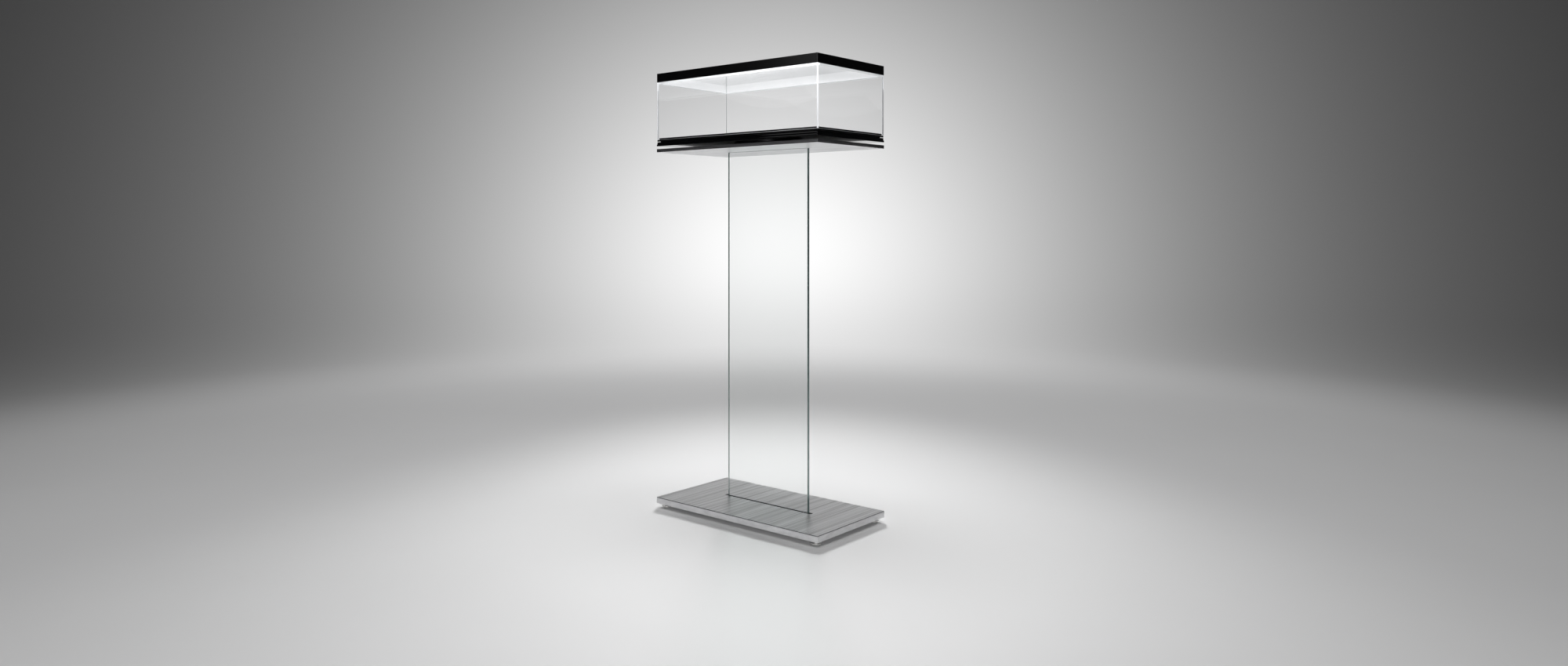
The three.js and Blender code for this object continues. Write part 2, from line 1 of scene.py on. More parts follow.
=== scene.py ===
import bpy
import numpy as np
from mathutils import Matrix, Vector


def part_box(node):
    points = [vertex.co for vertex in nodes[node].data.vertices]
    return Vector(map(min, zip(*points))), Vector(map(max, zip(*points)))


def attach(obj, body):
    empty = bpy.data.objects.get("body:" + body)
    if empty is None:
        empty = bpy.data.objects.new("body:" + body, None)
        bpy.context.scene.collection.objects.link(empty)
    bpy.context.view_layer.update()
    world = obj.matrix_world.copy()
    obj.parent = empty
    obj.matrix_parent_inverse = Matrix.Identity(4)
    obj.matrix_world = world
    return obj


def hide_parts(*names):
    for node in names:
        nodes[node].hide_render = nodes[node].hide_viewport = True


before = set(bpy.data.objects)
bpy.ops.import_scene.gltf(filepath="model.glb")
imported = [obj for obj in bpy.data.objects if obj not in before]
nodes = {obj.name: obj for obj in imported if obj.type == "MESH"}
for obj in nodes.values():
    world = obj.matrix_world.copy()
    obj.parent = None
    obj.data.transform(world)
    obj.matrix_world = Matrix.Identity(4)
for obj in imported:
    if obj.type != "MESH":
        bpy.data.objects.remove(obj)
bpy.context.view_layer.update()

# ---- Base slab --------------------------------------------------------------------------------
# A thick steel plate, sawn to size and bead blasted, so its sides are pale and finely textured.
# It is the weight that keeps the stand upright, and the glass stands in a groove milled in it.


class Wire:
    """One output socket of a node. Arithmetic on wires adds Math nodes, so a pattern reads as a formula."""

    def __init__(self, socket):
        self.socket = socket

    def node(self, kind, settings, sockets, output=0):
        """Adds a node of any kind: its settings are set first, then its sockets' values or wires."""
        tree = self.socket.id_data
        made = tree.nodes.new(kind)
        for key, value in settings.items():
            setattr(made, key, value)
        for key, value in sockets.items():
            if isinstance(value, Wire):
                tree.links.new(value.socket, made.inputs[key])
            else:
                made.inputs[key].default_value = value
        return Wire(made.outputs[output])

    def math(self, operation, left, right=0.0):
        return self.node("ShaderNodeMath", {"operation": operation}, {0: left, 1: right})

    def __add__(self, other):
        return self.math("ADD", self, other)

    __radd__ = __add__

    def __mul__(self, other):
        return self.math("MULTIPLY", self, other)

    __rmul__ = __mul__

    def __sub__(self, other):
        return self.math("SUBTRACT", self, other)

    def __rsub__(self, other):
        return self.math("SUBTRACT", other, self)

    def __truediv__(self, other):
        return self.math("DIVIDE", self, other)

    def __neg__(self):
        return 0 - self

    def __abs__(self):
        return self.math("ABSOLUTE", self)

    def __pow__(self, other):
        return self.math("POWER", self, other)


def noise(place, stretch, detail=3.0, roughness=0.5):
    """Smooth noise from 0 to 1, with stretch lumps to the metre along X, Y and Z."""
    scaled = place.node("ShaderNodeMapping", {}, {"Vector": place, "Scale": stretch})
    sockets = {"Vector": scaled, "Scale": 1.0, "Detail": detail, "Roughness": roughness}
    return place.node("ShaderNodeTexNoise", {}, sockets)


def blend(factor, first, second):
    """The colour that goes from first to second as factor goes from 0 to 1."""
    pair = {0: factor, 6: (*first, 1) if isinstance(first, tuple) else first}
    pair[7] = (*second, 1) if isinstance(second, tuple) else second
    return factor.node("ShaderNodeMix", {"data_type": "RGBA"}, pair, output=2)


def finish_of(name, **constants):
    """A new material: its Principled shader's constants are set, and a wire carries Object coordinates."""
    made = bpy.data.materials.new(name)
    made.use_nodes = True
    shader = made.node_tree.nodes["Principled BSDF"]
    for key, value in constants.items():
        socket = shader.inputs[key.replace("_", " ").title().replace("Ior", "IOR")]
        socket.default_value = (*value, 1) if isinstance(value, tuple) else value
    place = made.node_tree.nodes.new("ShaderNodeTexCoord").outputs["Object"]
    return made, shader, Wire(place)


def drive(shader, **wires):
    """Links wires to the shader's sockets, such as base_color and roughness."""
    for key, wire in wires.items():
        shader.id_data.links.new(wire.socket, shader.inputs[key.replace("_", " ").title()])


def relief(height, depth):
    """A bump from a height wire that runs from 0 to 1, depth metres deep."""
    return height.node("ShaderNodeBump", {}, {"Height": height, "Strength": 1.0, "Distance": depth})


def wear(*names, material):
    """Gives CAD nodes their material."""
    for name in names:
        slots = nodes[name].data.materials
        slots.clear()
        slots.append(material)


def blasted_steel():
    """Fine grit marks over a slow drift of tone; the grit stands 0.06 mm high."""
    made, shader, place = finish_of("blasted_steel", metallic=0.25, roughness=0.5)
    grit = noise(place, (900, 900, 900), 4, 0.7)
    drift = noise(place, (26, 26, 60), 2)
    tone = grit * 0.5 + drift * 0.5
    drive(
        shader,
        base_color=blend((tone - 0.3) * 2.5, (0.64, 0.64, 0.652), (0.93, 0.93, 0.94)),
        roughness=0.42 + grit * 0.25,
        normal=relief(grit, 0.00006),
    )
    return made


wear("base_slab", material=blasted_steel())

# ---- Bond film and slot gasket ----------------------------------------------------------------
# A black adhesive film holds the brushed sheet to the slab and shows as a seam all round. Black
# rubber fills the slot round the foot of the glass, and two blocks of it carry the glass.


def black_rubber():
    """Moulded rubber: nearly black, with a soft grain and paler bloom in patches."""
    made, shader, place = finish_of("black_rubber", specular_ior_level=0.35)
    grain = noise(place, (1400, 1400, 1400), 2)
    bloom = noise(place, (90, 90, 90), 3)
    drive(
        shader,
        base_color=blend(bloom, (0.012, 0.012, 0.013), (0.035, 0.035, 0.036)),
        roughness=0.6 + grain * 0.25,
        normal=relief(grain, 0.00005),
    )
    return made


rubber = black_rubber()
wear("base_sheet_bond", "base_slot_gasket", material=rubber)
wear("setting_block_left", "setting_block_right", material=rubber)

# ---- Brushed sheets ---------------------------------------------------------------------------
# Stainless sheet, laser cut so that its edges are darker. The one on the slab is brushed along its
# short side; a thicker one, brushed along its long side, closes the underside of the top plate.


def brushed_steel(name, grain, pale, dark):
    """Streaks: noise stretched along the grain, in three widths from hair lines to broad bands.

    grain is how many lumps to the metre the finest streaks have along X, Y and Z. The cut edge is
    told from the face by the height part of the surface's normal.
    """
    made, shader, place = finish_of(name, metallic=0.8)
    hairs = noise(place, grain, 4, 0.6)
    lines = noise(place, tuple(g * 0.22 for g in grain), 3)
    bands = noise(place, tuple(g * 0.05 for g in grain), 2)
    tone = hairs * 0.25 + lines * 0.4 + bands * 0.35
    normal = place.node("ShaderNodeNewGeometry", {}, {}, output="Normal")
    upright = abs(normal.node("ShaderNodeSeparateXYZ", {}, {0: normal}, output=2))
    face = blend((tone - 0.37) * 4.2, dark, pale)
    cut_edge = blend(hairs, (0.10, 0.10, 0.105), (0.22, 0.22, 0.225))
    drive(
        shader,
        base_color=blend(upright, cut_edge, face),
        roughness=0.30 + lines * 0.16 + hairs * 0.08,
        normal=relief(hairs, 0.00004),
    )
    return made


hairs_across, hairs_along = 1500, 12
grain_y = (hairs_across, hairs_along, hairs_across)
brushed_base = brushed_steel("brushed_base", grain_y, (0.72, 0.722, 0.73), (0.30, 0.302, 0.307))
wear("base_top_sheet", material=brushed_base)
grain_x = (hairs_along, hairs_across, hairs_across)
brushed_top = brushed_steel("brushed_top", grain_x, (0.93, 0.93, 0.94), (0.70, 0.70, 0.71))
wear("top_lower_plate", material=brushed_top)

# ---- Levelling feet ---------------------------------------------------------------------------
# Four turned and polished steel feet. Each is a thin disc with a rounded rim, a hexagon for the
# spanner and an M8 stud that screws into the slab, and stands on a glued rubber pad.


def skin(name, rows, finishes, face_finish=None, closed=True):
    """Makes a piece from a grid of points shaped (rows, around, 3).

    Quads join each row to the next, round the loop. With closed, a flat face shuts the first and
    last rows; without, the last row joins the first again, as on a ring. face_finish gives each
    quad row's material number, then the two end faces'.
    """
    count, around, _ = rows.shape
    index = np.arange(count * around).reshape(count, around)
    lower, upper = (index[:-1], index[1:]) if closed else (index, np.roll(index, -1, 0))
    quads = np.stack([lower, np.roll(lower, -1, 1), np.roll(upper, -1, 1), upper], -1).reshape(-1, 4)
    points = rows.reshape(-1, 3)
    corner = points[quads] - points.mean(0)
    volume = np.einsum("ij,ij->i", corner[:, 0], np.cross(corner[:, 1], corner[:, 2])).sum()
    faces = quads.tolist()
    if closed:
        faces += [index[0][::-1].tolist(), index[-1].tolist()]
    if volume < 0:
        faces = [face[::-1] for face in faces]
    mesh = bpy.data.meshes.new(name)
    mesh.from_pydata(points.tolist(), [], faces)
    for finish in finishes:
        mesh.materials.append(finish)
    if face_finish is not None:
        per_quad = np.repeat(face_finish[: len(lower)], around)
        numbers = np.concatenate([per_quad, face_finish[len(lower) :]]).astype(np.int32)
        mesh.polygons.foreach_set("material_index", numbers)
    mesh.shade_smooth()
    mesh.set_sharp_from_angle(angle=np.radians(40))
    piece = bpy.data.objects.new(name, mesh)
    bpy.context.scene.collection.objects.link(piece)
    return piece


def circle(around):
    """Evenly spaced angles once round, as cosines and sines."""
    turn = np.arange(around) * 2 * np.pi / around
    return np.cos(turn), np.sin(turn)


def lathe(profile, centre, around=64):
    """Turns a profile of (radius, height) rows about an upright axis through centre."""
    radius, height = np.asarray(profile, float).T
    cosine, sine = circle(around)
    rows = np.stack(
        [np.outer(radius, cosine), np.outer(radius, sine), np.outer(height, np.ones(around))], -1
    )
    return rows + np.asarray(centre, float)


def corner_arc(centre, radius, start, stop, steps=6):
    """(radius, height) points on a quarter circle of a turned profile; angles are in degrees."""
    angle = np.radians(np.linspace(start, stop, steps))
    return np.column_stack([centre[0] + radius * np.cos(angle), centre[1] + radius * np.sin(angle)])


def polished_steel():
    """Turned steel, polished: fine rings left by the tool, and a few cloudy finger marks."""
    made, shader, place = finish_of("polished_steel", metallic=0.7)
    marks = noise(place, (120, 120, 120), 3)
    rings = noise(place, (60, 60, 2600), 2)
    drive(
        shader,
        base_color=blend(marks, (0.84, 0.84, 0.82), (0.94, 0.94, 0.92)),
        roughness=0.10 + marks * 0.14 + rings * 0.05,
        normal=relief(rings, 0.00001),
    )
    return made


# A turned piece stops this far from its axis, where a small flat face closes it.
pole = 0.0005


def foot_disc(x, y, bottom, top, radius):
    """The disc: flat below, a rounded rim, and a shallow dome that falls from the hexagon to the rim."""
    lower_round, upper_round, dome_drop, crown = 0.0008, 0.0016, 0.0003, 0.0075
    lower = corner_arc((radius - lower_round, bottom + lower_round), lower_round, -90, 0)
    upper = corner_arc((radius - upper_round, top - dome_drop - upper_round), upper_round, 0, 80)
    dome = [[radius * 0.75, top - dome_drop / 3], [crown, top], [pole, top]]
    return lathe([[pole, bottom], [radius * 0.8, bottom], *lower, *upper, *dome], (x, y, 0))


def foot_hexagon(x, y, bottom, top, across_flats):
    """A six-sided collar: the radius is the flat's distance over the cosine of the angle to its middle.

    The corners are cut back by a cone at both ends, as on a nut.
    """
    around, cone_slope, end_radius = 96, 1.4, 0.001
    turn = np.arange(around) * 2 * np.pi / around
    flat = (turn + np.pi / 6) % (np.pi / 3) - np.pi / 6
    radius = across_flats / 2 / np.cos(flat)
    cut = np.array([0.0, 0.0, 0.0005, 0.0012])
    drop = np.concatenate([cut, cut[::-1]])
    height = np.concatenate([bottom + cut, top - cut[::-1]])
    cone = across_flats / 2 + drop * cone_slope
    cone[[0, -1]] = end_radius
    reach = np.minimum(radius[None, :], cone[:, None])
    cosine, sine = circle(around)
    lifted = np.outer(height, np.ones(around))
    return np.stack([x + reach * cosine, y + reach * sine, lifted], -1)


def foot_stud(x, y, bottom, top):
    """An M8 thread: the radius is the core's plus a triangle wave that climbs one pitch in a turn."""
    pitch, core, crest = 0.00125, 0.00325, 0.00395
    around, rows_per_pitch = 32, 8
    height = np.linspace(bottom, top, 1 + int(round((top - bottom) / pitch * rows_per_pitch)))
    turn = np.arange(around) / around
    phase = (height[:, None] - bottom) / pitch - turn[None, :]
    wave = 1 - np.abs((phase % 1) * 2 - 1)
    radius = core + (crest - core) * wave
    cosine, sine = circle(around)
    lifted = np.outer(height, np.ones(around))
    return np.stack([x + radius * cosine, y + radius * sine, lifted], -1)


foot_steel = polished_steel()
disc_height, hexagon_flats, soft = 0.0042, 0.013, 0.0003
overlap, slab_gap = 0.0002, 0.0003
slab_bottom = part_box("base_slab")[0].z
for number in (1, 2, 3, 4):
    low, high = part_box(f"levelling_foot_{number}")
    pad_low, pad_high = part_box(f"foot_pad_{number}")
    x, y = (low.x + high.x) / 2, (low.y + high.y) / 2
    disc_radius = (high.x - low.x) / 2
    disc_top = low.z + disc_height
    hexagon_top = slab_bottom - slab_gap
    shapes = {
        "disc": foot_disc(x, y, low.z, disc_top, disc_radius),
        "hexagon": foot_hexagon(x, y, disc_top - overlap, hexagon_top, hexagon_flats),
        "stud": foot_stud(x, y, hexagon_top - overlap, high.z),
    }
    for shape, rows in shapes.items():
        piece = skin(f"foot_{shape}_{number}", rows, [foot_steel])
        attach(piece, f"foot_{number}")
        if shape == "disc":
            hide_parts(f"levelling_foot_{number}")
    pad_radius = (pad_high.x - pad_low.x) / 2
    edge = [
        *corner_arc((pad_radius - soft, pad_low.z + soft), soft, -90, 0, 4),
        *corner_arc((pad_radius - soft, pad_high.z - soft), soft, 0, 90, 4),
    ]
    rows = lathe([[pole, pad_low.z], *edge, [pole, pad_high.z]], (x, y, 0))
    pad = skin(f"foot_rubber_{number}", rows, [rubber])
    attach(pad, f"foot_{number}")
    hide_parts(f"foot_pad_{number}")

# ---- Upright glass ----------------------------------------------------------------------------
# One sheet of 10 mm float glass on its end. The faces are all but invisible; light that travels
# along the sheet comes out of the ground and polished edges grey-green.


def slab_rows(low, high, thin, corner, edge):
    """The skin of a flat slab between two corners, its faces square to the axis numbered thin.

    One way round is a rectangle with quarter-circle corners. The other way goes over the edge: a
    quarter circle of radius edge down from the upper face, the straight side, and a quarter circle
    in to the lower face. A narrow flat row first and last keeps the shading of the faces flat.
    """
    low, high = np.asarray(low, float), np.asarray(high, float)
    centre, half = (low + high) / 2, (high - low) / 2
    wide, deep = (thin + 1) % 3, (thin + 2) % 3
    quarter = np.linspace(0, np.pi / 2, 5)
    margin = (corner - edge) * 0.6
    draw_in = edge * (1 - np.sin(quarter))
    fall = edge * (1 - np.cos(quarter))
    draw_in = np.concatenate([[edge + margin], draw_in, draw_in[::-1], [edge + margin]])
    top = half[thin]
    height = np.concatenate([[top], top - fall, fall[::-1] - top, [-top]])
    turn = np.concatenate([quarter + k * np.pi / 2 for k in range(4)])
    side_wide = np.repeat([1, -1, -1, 1], len(quarter)) * (half[wide] - corner)
    side_deep = np.repeat([1, 1, -1, -1], len(quarter)) * (half[deep] - corner)
    reach = (corner - draw_in)[:, None]
    rows = np.empty((len(height), len(turn), 3))
    rows[..., wide] = side_wide + reach * np.cos(turn)
    rows[..., deep] = side_deep + reach * np.sin(turn)
    rows[..., thin] = height[:, None]
    return rows + centre


def see_through(name, tint, ior, shade):
    """Clear glass or acrylic: it bends light for the eye, and lets other pieces' light straight through.

    A wipe left on it shows as a slight change of roughness.
    """
    made, shader, place = finish_of(
        name, base_color=tint, ior=ior, transmission_weight=1.0, specular_ior_level=0.4
    )
    wipe = noise(place, (9, 9, 5), 3)
    drive(shader, roughness=wipe * 0.008)
    tree = shader.id_data
    passing = tree.nodes.new("ShaderNodeBsdfTransparent")
    passing.inputs["Color"].default_value = (*shade, 1)
    bending, straight = Wire(shader.outputs[0]), Wire(passing.outputs[0])
    mixed = bending
    sides = {"Is Glossy Ray": straight, "Is Transmission Ray": bending, "Is Diffuse Ray": straight}
    for ray, side in {**sides, "Is Shadow Ray": straight}.items():
        other = place.node("ShaderNodeLightPath", {}, {}, output=ray)
        mixed = other.node("ShaderNodeMixShader", {}, {0: other, 1: mixed, 2: side})
    tree.links.new(mixed.socket, tree.nodes["Material Output"].inputs["Surface"])
    return made


def glass_edge():
    """The sheet's ground edge: grey-green, darker in long soft streaks up the sheet, half see-through."""
    made, shader, place = finish_of("glass_edge", ior=1.5, transmission_weight=0.35, coat_weight=0.4)
    streak = noise(place, (300, 300, 7), 3)
    drive(
        shader,
        base_color=blend(streak, (0.10, 0.16, 0.155), (0.26, 0.35, 0.335)),
        roughness=0.12 + streak * 0.12,
    )
    return made


def edge_numbers(face_rows, quad_rows=11):
    """Material numbers for slab_rows: 1 on the edge, 0 on the faces and on the quad rows next to them."""
    numbers = np.zeros(quad_rows + 2, int)
    numbers[face_rows : quad_rows - face_rows] = 1
    return numbers


low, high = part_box("glass_panel")
rows = slab_rows(low, high, 1, corner=0.0012, edge=0.0008)
glass_faces = see_through("clear_glass", (0.985, 0.996, 0.993), 1.45, (0.95, 0.97, 0.965))
panel = skin("upright_glass", rows, [glass_faces, glass_edge()], edge_numbers(1))
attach(panel, "stand")
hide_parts("glass_panel")

# ---- Top plate --------------------------------------------------------------------------------
# Under the turntable lie two plates. The lower one is brushed and has a slot for the glass, sealed
# with grey silicone; the upper one is dark satin aluminium and holds the turntable's screws.


def satin_aluminium():
    """Dark anodised aluminium: an even satin with faint lines along the saw cut."""
    made, shader, place = finish_of("satin_aluminium", metallic=0.9)
    saw = noise(place, (25, 25, 2200), 3)
    cloud = noise(place, (14, 14, 14), 2)
    drive(
        shader,
        base_color=blend(cloud * 0.6 + saw * 0.4, (0.15, 0.15, 0.155), (0.27, 0.27, 0.28)),
        roughness=0.34 + saw * 0.14,
        normal=relief(saw, 0.00003),
    )
    return made


def grey_silicone():
    """Tooled silicone: a soft grey with slow waves left by the finger that smoothed it."""
    made, shader, place = finish_of("grey_silicone", specular_ior_level=0.4)
    wave = noise(place, (70, 70, 70), 2)
    drive(
        shader,
        base_color=blend(wave, (0.30, 0.31, 0.32), (0.42, 0.43, 0.44)),
        roughness=0.4 + wave * 0.2,
        normal=relief(wave, 0.0002),
    )
    return made


wear("top_upper_plate", material=satin_aluminium())
wear("top_slot_seal", material=grey_silicone())

# ---- Ball turntable ---------------------------------------------------------------------------
# Two flat black anodised rings, one inside the other, with steel balls in a nylon cage between them.
# The outer ring is screwed to the top plate, the inner one to the plinth, so the case turns freely.


def turned_aluminium():
    """Black anodised aluminium off the lathe: fine rings round the axis, by the distance from it."""
    made, shader, place = finish_of("turned_aluminium", metallic=0.6)
    flat = place.node("ShaderNodeVectorMath", {"operation": "MULTIPLY"}, {0: place, 1: (1, 1, 0)})
    radius = flat.node("ShaderNodeVectorMath", {"operation": "LENGTH"}, {0: flat}, output="Value")
    spread = radius.node("ShaderNodeCombineXYZ", {}, {0: radius})
    ring = noise(spread, (1800, 1, 1), 3)
    drive(
        shader,
        base_color=blend(ring, (0.02, 0.02, 0.022), (0.05, 0.05, 0.053)),
        roughness=0.25 + ring * 0.2,
        normal=relief(ring, 0.00003),
    )
    return made


def zinc_steel():
    """Zinc plated steel: a cool grey that is mottled where the plating is thick or thin."""
    made, shader, place = finish_of("zinc_steel", metallic=1.0)
    mottle = noise(place, (500, 500, 500), 3)
    drive(
        shader,
        base_color=blend(mottle, (0.45, 0.47, 0.50), (0.62, 0.64, 0.66)),
        roughness=0.28 + mottle * 0.2,
    )
    return made


def white_nylon(name, low_tone, high_tone):
    """White plastic with a fine grain."""
    made, shader, place = finish_of(name, specular_ior_level=0.45)
    grain = noise(place, (700, 700, 700), 3)
    drive(
        shader,
        base_color=blend(grain, low_tone, high_tone),
        roughness=0.45 + grain * 0.2,
        normal=relief(grain, 0.00004),
    )
    return made


ring_metal = turned_aluminium()
ball_centre = (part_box("turntable_lower_ring")[0].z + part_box("turntable_upper_ring")[1].z) / 2
pitch_radius, half_gap, race_round, ball_radius = 0.0958, 0.0012, 0.00315, 0.003
inner_bore, soft = 0.0743, 0.0004
lip = np.arccos(half_gap / race_round)
race_turn = np.linspace(lip, -lip, 13)
doubled_at = 0.06  # each corner has a second point, this share of the way on, to keep its shading crisp
for node, side, body in (("turntable_lower_ring", 1, "stand"), ("turntable_upper_ring", -1, "plinth")):
    low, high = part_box(node)
    face = pitch_radius + side * half_gap
    far = high.x if side > 0 else inner_bore
    race_radius = pitch_radius + side * race_round * np.cos(race_turn)
    race = np.column_stack([race_radius, ball_centre + race_round * np.sin(race_turn)])
    far_in, face_in = far - side * soft, face + side * soft
    over = [[far, high.z - soft], [far_in, high.z], [face_in, high.z], [face, high.z - soft]]
    under = [[face, low.z + soft], [face_in, low.z], [far_in, low.z], [far, low.z + soft]]
    outline = np.repeat(np.vstack([over, race, under]), 2, axis=0)
    outline[1::2] += (np.roll(outline[::2], -1, 0) - outline[1::2]) * doubled_at
    rows = lathe(outline, (0, 0, 0), 192)
    ring = skin(f"race_{node.split('_')[1]}", rows, [ring_metal], closed=False)
    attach(ring, body)
    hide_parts(node)

wear("ball_cage", material=white_nylon("nylon_cage", (0.78, 0.78, 0.76), (0.88, 0.88, 0.87)))
for number in range(1, 9):
    low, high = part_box(f"bearing_ball_{number}")
    centre = np.array([(low.x + high.x) / 2, (low.y + high.y) / 2, ball_centre])
    lift = np.radians(np.linspace(-89, 89, 24))
    rows = lathe(ball_radius * np.column_stack([np.cos(lift), np.sin(lift)]), centre, 32)
    ball = skin(f"steel_ball_{number}", rows, [foot_steel])
    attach(ball, "ball_train")
    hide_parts(f"bearing_ball_{number}")

plating = zinc_steel()
for number in (1, 2, 3):
    wear(f"lower_ring_screw_{number}", f"upper_ring_screw_{number}", material=plating)

# ---- Stepped plinth ---------------------------------------------------------------------------
# Four layers of cast black acrylic, flame polished and cemented: a wide flange, a core, a ledge with
# a groove under it for the case's walls to stand on, and a deck that the case drops over.


def black_acrylic():
    """Polished black: almost no colour of its own, fine wipe marks in the gloss, dust in specks."""
    made, shader, place = finish_of("black_acrylic", ior=1.34, coat_weight=0.05, coat_roughness=0.02)
    wipe = noise(place, (7, 22, 30), 4, 0.6)
    fleck = noise(place, (850, 850, 850), 1)
    dust = (fleck - 0.74) * 6
    dust = dust.node("ShaderNodeClamp", {}, {"Value": dust})
    drive(
        shader,
        base_color=blend(dust * 0.5, (0.0025, 0.0025, 0.003), (0.06, 0.06, 0.06)),
        roughness=0.03 + wipe * 0.07 + dust * 0.2,
    )
    return made


gloss_black = black_acrylic()


def cast_piece(name, node, body, thin, corner, edge, finishes, face_finish=None):
    """A slab in a CAD node's box that stands for the node."""
    rows = slab_rows(*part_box(node), thin, corner, edge)
    piece = skin(name, rows, finishes, face_finish)
    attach(piece, body)
    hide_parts(node)
    return piece


corner_round, edge_round, joint_round = 0.0022, 0.0009, 0.0003


def plinth_layer(layer):
    """One layer of the plinth, a slab that lies flat."""
    return cast_piece(
        f"black_{layer}", f"plinth_{layer}", "plinth", 2, corner_round, edge_round,
        [gloss_black],
    )


for layer in ("flange", "core", "deck"):
    plinth_layer(layer)

low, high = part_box("plinth_ledge")
groove_height, groove_depth = 0.002, 0.008
shelf = plinth_layer("ledge")
upper = slab_rows((low.x, low.y, low.z + groove_height), high, 2, corner_round, edge_round)
shelf.data.vertices.foreach_set("co", upper.astype(np.float32).ravel())
neck_low = (low.x + groove_depth, low.y + groove_depth, low.z)
neck_high = (high.x - groove_depth, high.y - groove_depth, low.z + groove_height)
neck = skin("black_neck", slab_rows(neck_low, neck_high, 2, corner_round, joint_round), [gloss_black])
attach(neck, "plinth")

# ---- Clear case -------------------------------------------------------------------------------
# Five panes of cast acrylic, cemented edge to edge with polished edges. The edges carry a painted
# glow, which stands in for the light from the lid that runs down inside the panes.


def painted_edge_glow():
    """A polished edge with a painted glow that stands in for the light the pane carries.

    It is strongest next to the lid, and on the front pane's edges, growing from its left end to its
    right: each share runs from 0 to 1 by Object coordinates. The front share is gone 10 mm behind
    the front pane.
    """
    made, shader, place = finish_of("acrylic_edge_painted_glow", ior=1.49, roughness=0.08, transmission_weight=0.55)
    low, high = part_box("front_pane")
    along, across, height = (
        place.node("ShaderNodeSeparateXYZ", {}, {0: place}, output=axis) for axis in range(3)
    )
    reach_back = 0.01
    shares = (
        (height - low.z) / (high.z - low.z),
        (high.y + reach_back - across) / reach_back,
        (along - low.x) / (high.x - low.x),
    )
    rise, front, right = (share.node("ShaderNodeClamp", {}, {"Value": share}) for share in shares)
    # The glow is painted light: brightest next to the lid and along the front pane, most at its right end.
    glow = (0.55 + 0.45 * rise) * (0.20 + 0.80 * front * (0.12 + 0.88 * right))
    streak = noise(place, (60, 60, 14), 3)
    drive(
        shader,
        base_color=blend(streak, (0.86, 0.88, 0.89), (0.97, 0.98, 0.99)),
        emission_color=blend(glow, (0.0, 0.0, 0.0), (0.95, 0.97, 1.0)),
    )
    shader.inputs["Emission Strength"].default_value = 1.1
    return made


acrylic = see_through("clear_acrylic", (0.997, 0.998, 1.0), 1.34, (0.97, 0.975, 0.98))
edge_painted_glow = painted_edge_glow()
pane_corner, pane_edge = 0.0009, 0.0004
for name, thin in (("front", 1), ("back", 1), ("left", 0), ("right", 0), ("top", 2)):
    cast_piece(
        f"{name}_acrylic", f"{name}_pane", "cover", thin, pane_corner, pane_edge,
        [acrylic, edge_painted_glow], edge_numbers(2),
    )

# ---- Lid --------------------------------------------------------------------------------------
# Four mitred aluminium rails, lacquered black, with a lacquered skin let in flush on top. The fine
# line at each corner is the mitre, and the lacquer is a little greyer along it.


def black_lacquer():
    """Satin lacquer: a low orange peel, and a greyer tone within a millimetre of the mitred corners."""
    made, shader, place = finish_of("black_lacquer", ior=1.32, coat_weight=0.08, coat_roughness=0.1)
    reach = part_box("lid_rail_right")[1].x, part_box("lid_rail_back")[1].y
    along_x = place.node("ShaderNodeSeparateXYZ", {}, {0: place}, output=0)
    along_y = place.node("ShaderNodeSeparateXYZ", {}, {0: place}, output=1)
    off_corner = (reach[0] - abs(along_x)) + (reach[1] - abs(along_y))
    # The lacquer is greyer within this reach of the mitred corners.
    corner_grey_width = 0.0028
    corner_grey = off_corner.node("ShaderNodeClamp", {}, {"Value": 1 - off_corner / corner_grey_width})
    peel = noise(place, (420, 420, 420), 2)
    drift = noise(place, (5, 5, 12), 3)
    drive(
        shader,
        base_color=blend(corner_grey * 0.8, (0.0025, 0.0025, 0.003), (0.16, 0.16, 0.165)),
        roughness=0.18 + drift * 0.12 + corner_grey * 0.1,
        normal=relief(peel, 0.00002),
    )
    return made


def rail_rows(low, high, across, outward):
    """A mitred rail: a rectangular section with rounded corners, carried from one mitre plane to the other.

    across is the axis that the rail is thin along, and outward is 1 or -1 along it. A point of the
    section that lies deeper in from the outer face starts and stops that much further from the ends.
    Narrow flat rows beside the rounded corners and the mitres keep the shading of the faces flat.
    """
    low, high = np.asarray(low, float), np.asarray(high, float)
    run = 1 - across
    thick, tall = high[across] - low[across], high[2] - low[2]
    outer, inner, flat, near_end = 0.0008, 0.0003, 0.00015, 0.0005
    arcs = [
        corner_arc((outer, outer), outer, 180, 270),
        corner_arc((thick - inner, inner), inner, 270, 360, 3),
        corner_arc((thick - inner, tall - inner), inner, 0, 90, 3),
        corner_arc((outer, tall - outer), outer, 90, 180),
    ]
    leads = flat * np.array([[0, 1], [-1, 0], [0, -1], [1, 0]])
    leave = np.roll(leads, 1, axis=0)
    section = [np.vstack([arc[0] + lead, arc, arc[-1] + end]) for arc, lead, end in zip(arcs, leads, leave)]
    depth, level = np.vstack(section).T
    rows = np.empty((4, len(depth), 3))
    face = high[across] if outward > 0 else low[across]
    rows[..., across] = face - outward * depth
    start, stop = low[run] + depth, high[run] - depth
    inset = (stop - start) * near_end
    rows[0, :, run], rows[1, :, run] = start, start + inset
    rows[2, :, run], rows[3, :, run] = stop - inset, stop
    rows[..., 2] = low[2] + level
    return rows


def bore(piece, centres, radius):
    """Drills round holes along Y through a piece, and keeps the drilled mesh."""
    drills, half_length = [], 0.02
    for centre in centres:
        rows = lying_lathe([[radius, -half_length], [radius, half_length]], centre, 48)
        drill = skin("drill", rows, [])
        cut = piece.modifiers.new("hole", "BOOLEAN")
        cut.operation, cut.solver, cut.object = "DIFFERENCE", "EXACT", drill
        drills.append(drill)
    bpy.context.view_layer.update()
    evaluated = piece.evaluated_get(bpy.context.evaluated_depsgraph_get())
    drilled = bpy.data.meshes.new_from_object(evaluated)
    piece.modifiers.clear()
    piece.data = drilled
    for drill in drills:
        bpy.data.meshes.remove(drill.data)


